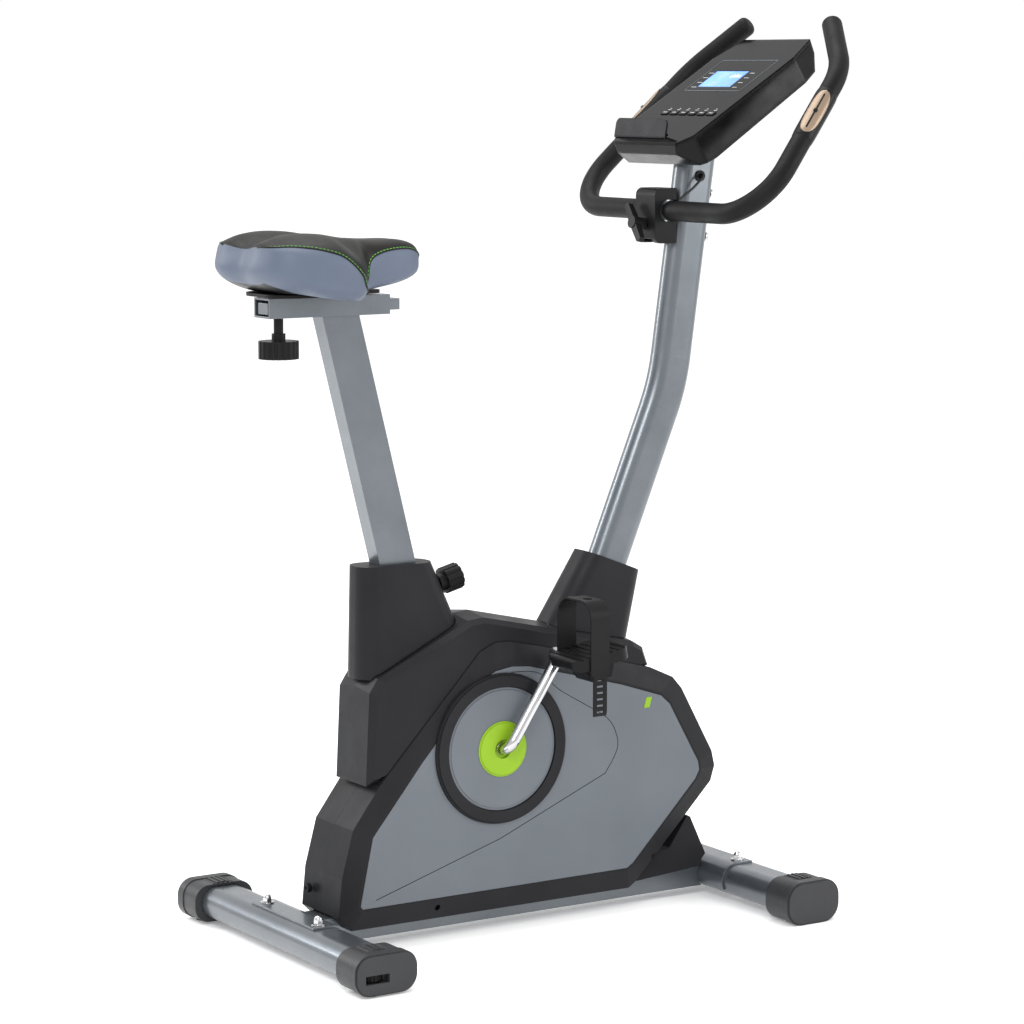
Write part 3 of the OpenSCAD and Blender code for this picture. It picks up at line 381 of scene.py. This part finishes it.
def saddle_point(t, phi, grow=0.0):
    """A point of the saddle: t runs from rear to nose, phi from the top (0) round one side to pi below."""
    w = max(curve_at(WIDTH, t), 0) + grow
    top, mid, low = curve_at(TOP, t) + grow, curve_at(MID, t), curve_at(BOTTOM, t) - grow
    s, c = math.sin(phi), math.cos(phi)
    y = w * math.copysign(abs(s) ** 0.74, s)
    side = abs(y) / max(w, 1)
    if c > 0:
        z = mid + (top - mid) * abs(c) ** 0.66
    else:
        inner = max(low, BASE_Z)
        z = mid - (mid - inner - (low - inner) * ease(0.45, 0.8, side)) * abs(c) ** 0.5
    x = SADDLE_X0 + (SADDLE_X1 - SADDLE_X0) * t
    if c > 0:
        # the groove down the middle, the two lobes, and the dip where the wings meet the nose
        lobe = max(0.0, 1 - ((t - 0.2) / 0.42) ** 2)
        z -= (12 * lobe + 2) * math.exp(-(y / (20 + 8 * lobe)) ** 2) * (0.25 + 0.75 * min(1, t / 0.06))
        z += 4 * lobe * math.exp(-((abs(y) - 58) / 34) ** 2)
        z -= 24 * ease(0.34, 0.57, t) * (1 - ease(0.58, 0.66, t)) * ease(36, 105, abs(y)) * abs(c) ** 0.4
    # the notch in the rear edge, and the bulge of the rear wall below the seam
    x += 12 * math.exp(-(y / 32) ** 2) * max(0, 1 - t / 0.2) ** 2
    x -= 9 * max(0, 1 - t / 0.3) ** 2 * math.exp(-((z - 1056) / 20) ** 2)
    return mm(x, y, z)


# angle of the seam between the dark top and the grey side
SEAM_PHI = [(0, 1.3), (0.03, 1.1), (0.08, 1.0), (0.2, 1.03), (0.33, 1.18), (0.43, 1.36),
            (0.5, 1.58), (0.55, 1.85), (0.585, 2.05), (0.615, 1.88), (0.65, 1.45), (0.72, 1.22),
            (0.82, 1.12), (0.92, 1.1), (1, 1.3)]
# rings of vertices: closer together at both ends, and where the wings meet the nose
STATIONS = [0.5 - 0.5 * math.cos(math.pi * i / 76) for i in range(77)]
STATIONS = sorted(STATIONS + [0.53 + 0.013 * i for i in range(12)])
RING = 72
TOP_FACES = 16  # on each side, from the crown to the seam
SIDE_FACES = 12  # on each side, from the seam to the lower edge
LOWER_PHI = 2.5


def ring_phi(k, t):
    """The angle of vertex k of a ring, with an edge loop on the seam and one on the lower edge."""
    side = 1 if k >= RING // 2 else -1
    n = abs(k - RING // 2)
    seam = curve_at(SEAM_PHI, t)
    if n <= TOP_FACES:
        return side * seam * n / TOP_FACES
    if n <= TOP_FACES + SIDE_FACES:
        return side * (seam + (LOWER_PHI - seam) * (n - TOP_FACES) / SIDE_FACES)
    rest = RING // 2 - TOP_FACES - SIDE_FACES
    return side * (LOWER_PHI + (math.pi - LOWER_PHI) * (n - TOP_FACES - SIDE_FACES) / rest)


def ring_tone(k, t):
    """0 for the dark top, 1 for the grey side, 2 for the black base."""
    n = abs(k + 0.5 - RING // 2)
    return 0 if n < TOP_FACES else 1 if n < TOP_FACES + SIDE_FACES or t < 0.035 else 2


def build_saddle():
    """The cushion's cover: rings of vertices from rear to nose, closed by a fan at each end."""
    verts, faces, tones = [], [], []
    for t in STATIONS[1:-1]:
        for k in range(RING):
            verts.append(saddle_point(t, ring_phi(k, t)))
    rows = len(STATIONS) - 2
    for i in range(rows - 1):
        for k in range(RING):
            q = (k + 1) % RING
            faces.append((i * RING + k, i * RING + q, (i + 1) * RING + q, (i + 1) * RING + k))
            tones.append(ring_tone(k, STATIONS[i + 1]))
    for row in (0, rows - 1):
        centre = sum((verts[row * RING + k] for k in range(RING)), Vector()) / RING
        verts.append(centre)
        for k in range(RING):
            faces.append((row * RING + k, row * RING + (k + 1) % RING, len(verts) - 1))
            tones.append(ring_tone(k, STATIONS[row + 1]))
    o = new_mesh("saddle_cover", verts, faces, "vinyl_dark", True, "seat_carriage")
    o.data.materials.append(MATS["vinyl_grey"])
    o.data.materials.append(MATS["black"])
    for p, tone in zip(o.data.polygons, tones):
        p.material_index = tone
    sub = o.modifiers.new("smooth", "SUBSURF")
    sub.levels = sub.render_levels = 1
    apply_modifiers(o)
    return o


saddle = build_saddle()
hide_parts("saddle")


def seam_line(side, offset, grow):
    """Points along the saddle's seam, moved towards the top by offset in phi."""
    points = []
    for i in range(141):
        t = 0.012 + 0.976 * i / 140
        points.append(saddle_point(t, side * (curve_at(SEAM_PHI, t) - offset), grow))
    return points


def resample(points, step):
    """Points a fixed step apart along a line."""
    out, want, run = [points[0]], step, 0.0
    for a, b in zip(points, points[1:]):
        d = (b - a).length
        while run + d >= want:
            out.append(a.lerp(b, (want - run) / d))
            want += step
        run += d
    return out


PIPING_R = 0.0017
STITCH_STEP = 0.0062
STITCH_RADII = [0.0003, 0.0007, 0.0007, 0.0003]
seams, stitches = [], []
for side in (-1, 1):
    seams.append(tube_along(f"seam_{side}", seam_line(side, 0, -0.5), PIPING_R, "vinyl_dark", sides=10))
    line = resample(seam_line(side, 0.055, 0.25), STITCH_STEP)
    for a, b in zip(line, line[1:]):
        end = a.lerp(b, 0.74)
        points = [a, a.lerp(end, 0.25), a.lerp(end, 0.75), end]
        stitches.append(tube_along("stitch", points, STITCH_RADII, "thread", sides=6))
piping = joined("saddle_piping", seams)
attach(piping, "seat_carriage")
thread = joined("saddle_stitching", stitches)
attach(thread, "seat_carriage")

# ---------------------------------------------------------------- grips

# corners of the handlebar's centreline on the left side, and the radius of its two bends
BAR = [Vector((253, 33, 1126)), Vector((253, 267, 1126)), Vector((460, 202, 1349)), Vector((508, 116, 1420))]
BENDS = [80, 117]


def mirrored(v, s):
    """The point for side s, 1 for left and -1 for right."""
    return Vector((v.x, v.y * s, v.z))


def grip_path(s):
    """Centreline of one side of the handlebar in drawing millimetres."""
    out = [mirrored(BAR[0], s)]
    for i, radius in ((1, BENDS[0]), (2, BENDS[1])):
        p, q, r = BAR[i - 1], BAR[i], BAR[i + 1]
        u, v = (p - q).normalized(), (r - q).normalized()
        half = u.angle(v) / 2
        cut = radius / math.tan(half)
        centre = q + (u + v).normalized() * radius / math.sin(half)
        a, b = q + u * cut - centre, q + v * cut - centre
        if i == 1:
            for k in range(1, 14):
                out.append(mirrored(p.lerp(q + u * cut, k / 14), s))
        else:
            last = Vector((out[-1].x, out[-1].y * s, out[-1].z))
            for k in range(1, 12):
                out.append(mirrored(last.lerp(q + u * cut, k / 12), s))
        sweep = math.pi - 2 * half
        side = (b - a * math.cos(sweep)) / math.sin(sweep)
        for k in range(25):
            w = sweep * k / 24
            out.append(mirrored(centre + a * math.cos(w) + side * math.sin(w), s))
    last = Vector((out[-1].x, out[-1].y * s, out[-1].z))
    for k in range(1, 9):
        out.append(mirrored(last.lerp(BAR[3], k / 8), s))
    return out


FOAM_R = 16.4
PLATE_R = 18.0  # from the bar's centreline to the edge of a sensor plate
for s, word in ((-1, "right"), (1, "left")):
    path = grip_path(s)
    tip_dir = (path[-1] - path[-2]).normalized()
    radii = [FOAM_R] * len(path)
    radii[0] = FOAM_R - 1.6
    path.insert(1, path[0].lerp(path[1], 0.12))
    radii.insert(1, FOAM_R)
    for k in range(1, 9):
        a = math.pi / 2 * k / 8
        path.append(mirrored(BAR[3], s) + tip_dir * 9 * math.sin(a))
        radii.append(max(FOAM_R - 9 + 9 * math.cos(a), 0.5))
    centres = [mm(*p) for p in path]
    grip = tube_along(f"grip_{word}", centres, [r / 1000 for r in radii], "foam", "handlebar", 40)
    if s == -1:
        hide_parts("foam_grips")

    # pulse sensor: a slim pod on the straight of the grip, with a plate on its front and its back
    axis = mirrored((BAR[2] - BAR[1]).normalized(), s)
    centre = mirrored(BAR[1].lerp(BAR[2], 0.67), s)
    pod_points, pod_radii = [], []
    for k in range(33):
        u = -1 + 2 * k / 32
        pod_points.append(mm(*(centre + axis * 52 * u)))
        pod_radii.append((FOAM_R - 0.6 + 2.0 * max(0.0, 1 - abs(u) ** 6) ** 0.5) / 1000)
    pod = tube_along(f"sensor_pod_{word}", pod_points, pod_radii, "black", "handlebar", 40)
    if s == -1:
        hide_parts("pulse_sensors")
    normal = Vector((-0.42, 0.68 * s, 0.6))
    normal = (normal - axis * normal.dot(axis)).normalized()
    across = axis.cross(normal)
    for face, sign in (("front", 1), ("back", -1)):
        verts, faces = [], []
        along, round_it = 28, 20
        for i in range(along + 1):
            u = -1 + 2 * i / along
            width = math.radians(50) * max(0.0, 1 - abs(u) ** 2.6) ** 0.5
            for j in range(round_it + 1):
                v = -1 + 2 * j / round_it
                ang = width * v
                edge = max(0.0, 1 - max(abs(u), abs(v)) ** 10)
                r = PLATE_R + 0.9 * edge ** 0.5
                p = centre + axis * 44 * u + (normal * sign * math.cos(ang) + across * math.sin(ang)) * r
                verts.append(mm(*p))
        for i in range(along):
            for j in range(round_it):
                a = i * (round_it + 1) + j
                faces.append((a, a + 1, a + round_it + 2, a + round_it + 1))
        plate = new_mesh(f"sensor_plate_{word}_{face}", verts, faces, "tan", True, "handlebar")
        bar_at = (-1, -0.96, -0.1, -0.06, 0.06, 0.1, 0.96, 1)
        bar_points = [mm(*(centre + axis * (36 * u) + normal * sign * 18.6)) for u in bar_at]
        bar_radii = [0.0006, 0.0015, 0.0015, 0.0034, 0.0034, 0.0015, 0.0015, 0.0006]
        bar_o = tube_along(f"sensor_bar_{word}_{face}", bar_points, bar_radii, "black", "handlebar", 12)

# ---------------------------------------------------------------- console details

FACE = Matrix.Rotation(math.radians(-32.1), 4, "Y")


def on_face(s, y, n):
    """s runs up the console's face, y across it and n out of it."""
    p = FACE @ Vector((s, y, n))
    return mm(226 + p.x, y, 1236 + p.z)


def prism(lower, upper):
    """Vertices and faces of a solid between two outlines with the same number of points."""
    m = len(lower)
    faces = [tuple(range(m))[::-1], tuple(range(m, 2 * m))]
    faces += [(k, (k + 1) % m, m + (k + 1) % m, m + k) for k in range(m)]
    return lower + upper, faces


def face_box(name, s0, s1, y0, y1, n0, n1, mat, body="frame", slot=None):
    """A flat block that lies on the console's face."""
    outline = [(s0, y0), (s1, y0), (s1, y1), (s0, y1)]
    verts, faces = prism([on_face(s, y, n0) for s, y in outline], [on_face(s, y, n1) for s, y in outline])
    o = new_mesh(name, verts, faces, mat, False, body)
    return o


def ledge_plate(name, points, s0, n0, lean, depth):
    """A flat plate that leans towards the face; points are given as (y, distance up the plate)."""
    up = Vector((math.sin(lean), 0, math.cos(lean)))
    out = Vector((math.cos(lean), 0, -math.sin(lean)))

    def side(d):
        return [on_face(s0 + up.x * v + out.x * d, y, n0 + up.z * v + out.z * d) for y, v in points]

    verts, faces = prism(side(0), side(depth))
    return new_mesh(name, verts, faces, "shell", False)


def rounded_top(y0, y1, height, r):
    """A plate's outline with its two upper corners rounded."""
    pts = [(y0, 0), (y1, 0)]
    for cy, a0 in ((y1 - r, 0), (y0 + r, 90)):
        for k in range(9):
            a = math.radians(a0 + 90 * k / 8)
            pts.append((cy + r * math.cos(a), height - r + r * math.sin(a)))
    return pts


lip = ledge_plate("lip", rounded_top(-40, 102, 31, 10), 10, 0.2, math.radians(42), 3.2)
foot = ledge_plate("foot", rounded_top(-36, 98, 14, 4), 9, 1.8, math.radians(90), 1.6)
ledge = joined("ledge_lip", [lip, foot])
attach(ledge, "frame")
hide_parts("tablet_ledge")

# the segments that make each digit shown
SEGMENTS = {0: "abcdef", 1: "bc", 2: "abged", 3: "abgcd", 4: "fgbc", 5: "afgcd", 8: "abcdefg"}
DIGIT_N = (-0.42, -0.25)  # the depth of the digits, just over the display


def digit(name, value, s, y, h):
    """A seven-segment digit on the display; reading direction is -Y."""
    w, t, gap = h * 0.55, h * 0.1, 0.3
    place = {"a": (h - t, h, 0, w), "g": (h / 2 - t / 2, h / 2 + t / 2, 0, w), "d": (0, t, 0, w),
             "f": (h / 2, h, 0, t), "b": (h / 2, h, w - t, w),
             "e": (0, h / 2, 0, t), "c": (0, h / 2, w - t, w)}
    parts = []
    for seg in SEGMENTS[value]:
        a, b, c, d = place[seg]
        box = (s + a + gap, s + b - gap, y - d + gap, y - c - gap)
        parts.append(face_box(name, *box, *DIGIT_N, "white", None))
    return parts


digits = []
for values, low, left, step, height in (((1, 2, 0), 190, 32, 9, 12), ((0, 8, 5), 168, 30, 8, 10),
                                        ((3, 4), 168, -10, 8, 10)):
    for k, v in enumerate(values):
        digits += digit("digit", v, low, left - step * k, height)
for k, height in enumerate((3, 6, 9, 7, 10, 8, 5, 9, 4)):
    y = -2 - 3.4 * k
    digits.append(face_box("digit", 190, 191 + height, y - 2.4, y, *DIGIT_N, "white", None))
numbers = joined("display_segments", digits)
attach(numbers, "frame")

frame_lines = [
    face_box("bezel_low", 149, 150.2, -78, 72, -0.2, 0.5, "panel", None),
    face_box("bezel_high", 240, 241.2, -78, 72, -0.2, 0.5, "panel", None),
    face_box("bezel_a", 149, 241, 71, 72.2, -0.2, 0.5, "panel", None),
    face_box("bezel_b", 149, 241, -79, -77.8, -0.2, 0.5, "panel", None),
]
bezel = joined("screen_bezel", frame_lines)
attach(bezel, "frame")

# small printed bars beside the screen and above each key
KEYS_Y = [45 - 25 * i for i in range(6)]


def mark(s0, y0, y1):
    return face_box("mark", s0, s0 + 1, y0, y1, -0.1, 0.12, "white", None)


marks = []
for row in range(4):
    marks += [mark(160 + 14 * row, 52, 66), mark(160 + 14 * row, -58, -46)]
for y in KEYS_Y:
    marks += [mark(92, y - 4, y + 4), mark(96, y - 2, y + 2)]
prints = joined("console_marks", marks)
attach(prints, "frame")
for i, y in enumerate(KEYS_Y, 1):
    face_box(f"key_print_{i}", 82.4, 83.6, y - 5, y + 5, 1.55, 1.72, "white", f"key_{i}", "console_gloss")

# ---------------------------------------------------------------- shroud details

PANEL_Y = 69.0  # how far out the side panels' faces are
LINE_R = 0.00055


def smooth_path(pts, steps):
    """A smooth curve through the given points."""
    out = []
    for i in range(len(pts) - 1):
        p0, p1, p2, p3 = (Vector(pts[max(i - 1, 0)]), Vector(pts[i]), Vector(pts[i + 1]),
                          Vector(pts[min(i + 2, len(pts) - 1)]))
        for k in range(steps):
            u = k / steps
            out.append(0.5 * ((2 * p1) + (p2 - p0) * u + (2 * p0 - 5 * p1 + 4 * p2 - p3) * u * u
                              + (3 * p1 - p0 - 3 * p2 + p3) * u**3))
    out.append(Vector(pts[-1]))
    return out


# the moulded line on each side panel, as (X, Z)
seam = smooth_path([(-72, 416), (-22, 410), (20, 378), (66, 351), (106, 327), (124, 304), (129, 273),
                    (106, 235)], 8)
seam += [Vector((-92, 153)), Vector((-318, 84))]
lines = [tube_along("panel_line", [mm(p.x, s * PANEL_Y, p.y) for p in seam], LINE_R, "shell", sides=6)
         for s in (-1, 1)]
panel_line = joined("panel_lines", lines)
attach(panel_line, "frame")

TAB = [(180, 333), (191, 333), (196, 350), (185, 350)]
tabs = []
for s in (-1, 1):
    inner, outer = ([mm(x, s * y, z) for x, z in TAB] for y in (PANEL_Y - 0.4, PANEL_Y + 0.5))
    tabs.append(new_mesh("tab", *prism(inner, outer), "green", False))
tab = joined("panel_tabs", tabs)
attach(tab, "frame")
